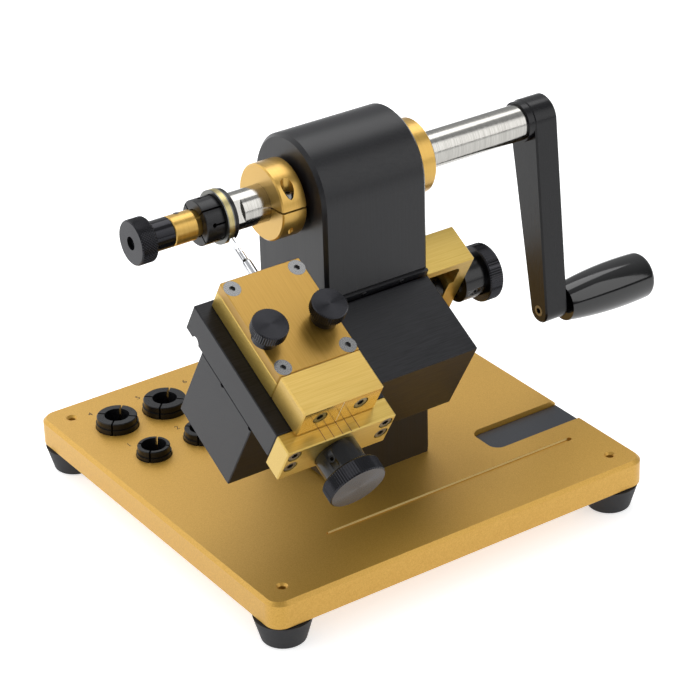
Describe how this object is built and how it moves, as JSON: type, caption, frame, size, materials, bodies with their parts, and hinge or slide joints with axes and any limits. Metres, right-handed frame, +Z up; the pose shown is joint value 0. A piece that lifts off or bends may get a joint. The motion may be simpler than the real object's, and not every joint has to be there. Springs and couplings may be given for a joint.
{
  "type": "millgrain machine",
  "caption": "Hand cranked bench machine that rolls a beaded edge on a ring held on an expanding collet, with a leaning tool slide.",
  "frame": {"origin": "on the bench, in the middle of the four foot screw recesses and so under the middle of the square base plate", "axes": "+X along the spindle towards the crank, +Z up, -Y towards the person at the machine"},
  "size_m": [0.2531, 0.2068, 0.176],
  "materials": {
    "gold_anodised": "satin gold anodised, fine machining marks",
    "black_anodised": "satin black anodised",
    "ground_steel": "ground and polished steel",
    "stainless": "stainless socket screws",
    "black_oxide": "black oxide steel",
    "grey_steel": "dark grey flat steel",
    "bronze": "bearing bronze",
    "yellow_gold": "jeweller's yellow gold with grey edges",
    "foot_rubber": "matte dark rubber",
    "black_plastic": "glossy black moulded handle"
  },
  "bodies": {
    "frame": {"base_plate": "gold_anodised", "rubber_feet": "foot_rubber", "foot_screws": "stainless", "tower": "black_anodised", "tower_screws": "black_oxide", "spindle_bushes": "bronze", "keeper_strip": "black_anodised", "keeper_screws": "black_oxide", "x_feed_bracket": "gold_anodised", "bracket_screws": "stainless", "spare_collet_1": "black_oxide", "spare_collet_2": "black_oxide", "spare_collet_3": "black_oxide", "spare_collet_4": "black_oxide", "spare_collet_5": "black_oxide", "collet_remover": "grey_steel"},
    "spindle": {"spindle_shaft": "ground_steel", "stop_washer": "black_oxide", "expanding_collet": "black_oxide", "work_ring": "yellow_gold", "left_collar_upper": "gold_anodised", "left_collar_lower": "gold_anodised", "right_collar": "gold_anodised", "right_collar_screw": "black_oxide", "left_collar_screws": "stainless", "crank_arm": "black_anodised", "crank_screw": "stainless", "handle_axle": "ground_steel", "handle_lock_screw": "stainless"},
    "crank_handle": {"crank_handle": "black_plastic"},
    "expander": {"expander_sleeve": "gold_anodised", "sleeve_retaining_screw": "stainless"},
    "draw_knob": {"draw_knob": "black_anodised", "draw_stud": "ground_steel"},
    "x_slide": {"cross_bar": "black_anodised", "carriage_base": "black_anodised", "carriage_screws": "stainless", "end_plate": "gold_anodised", "end_plate_screws": "stainless"},
    "x_feed_screw": {"x_feed_screw": "ground_steel", "x_feed_knob": "black_anodised", "x_feed_knob_screw": "black_oxide", "x_feed_collar": "black_oxide"},
    "infeed_slide": {"tool_holder": "gold_anodised", "holder_clamp_plate": "gold_anodised", "clamp_plate_screws": "stainless", "holder_front_block": "gold_anodised", "front_block_screws": "stainless", "infeed_nut": "bronze", "infeed_nut_screw": "stainless", "tool_shank": "ground_steel", "wheel_pin": "ground_steel"},
    "millgrain_wheel": {"millgrain_wheel": "ground_steel"},
    "infeed_screw": {"infeed_screw": "ground_steel", "infeed_knob": "black_anodised", "infeed_knob_screw": "black_oxide", "infeed_thrust_collar": "black_oxide"},
    "thumb_screw_left": {"thumb_screw_left": "black_anodised"},
    "thumb_screw_right": {"thumb_screw_right": "black_anodised"}
  },
  "joints": [
    {"name": "spindle_turn", "type": "hinge", "parent": "frame", "child": "spindle", "pos_m": [0, -0.0091, 0.1506], "axis": [1, 0, 0], "continuous": true},
    {"name": "handle_turn", "type": "hinge", "parent": "spindle", "child": "crank_handle", "pos_m": [0.13, -0.02169, 0.06431], "axis": [1, 0, 0], "continuous": true},
    {"name": "expander_slide", "type": "slide", "parent": "spindle", "child": "expander", "axis": [1, 0, 0], "range_m": [-0.00159, 0]},
    {"name": "draw_knob_turn", "type": "hinge", "parent": "expander", "child": "draw_knob", "pos_m": [-0.09, -0.0091, 0.1506], "axis": [1, 0, 0], "range_deg": [-720, 0]},
    {"name": "x_feed_turn", "type": "hinge", "parent": "frame", "child": "x_feed_screw", "pos_m": [0.04, -0.01836, 0.0911], "axis": [1, 0, 0], "range_deg": [-2160, 2160]},
    {"name": "x_slide", "type": "slide", "parent": "frame", "child": "x_slide", "axis": [1, 0, 0], "range_m": [-0.0076, 0.0076]},
    {"name": "infeed_turn", "type": "hinge", "parent": "x_slide", "child": "infeed_screw", "pos_m": [-0.06, -0.08527, 0.0818], "axis": [0, -0.866, -0.5], "range_deg": [-2880, 0]},
    {"name": "infeed_slide", "type": "slide", "parent": "x_slide", "child": "infeed_slide", "axis": [0, -0.866, -0.5], "range_m": [0, 0.0101]},
    {"name": "wheel_turn", "type": "hinge", "parent": "infeed_slide", "child": "millgrain_wheel", "pos_m": [-0.06, -0.02044, 0.14405], "axis": [1, 0, 0], "continuous": true},
    {"name": "thumb_left_turn", "type": "hinge", "parent": "infeed_slide", "child": "thumb_screw_left", "pos_m": [-0.075, -0.06511, 0.12427], "axis": [0, -0.5, 0.866], "range_deg": [0, 360]},
    {"name": "thumb_right_turn", "type": "hinge", "parent": "infeed_slide", "child": "thumb_screw_right", "pos_m": [-0.0482, -0.06554, 0.12402], "axis": [0, -0.5, 0.866], "range_deg": [0, 360]}
  ],
  "couplings": [
    {"joint": "draw_knob_turn", "follows": "expander_slide", "rad_per_m": 7854},
    {"joint": "x_feed_turn", "follows": "x_slide", "rad_per_m": -4947.4},
    {"joint": "infeed_turn", "follows": "infeed_slide", "rad_per_m": -4947.4}
  ]
}
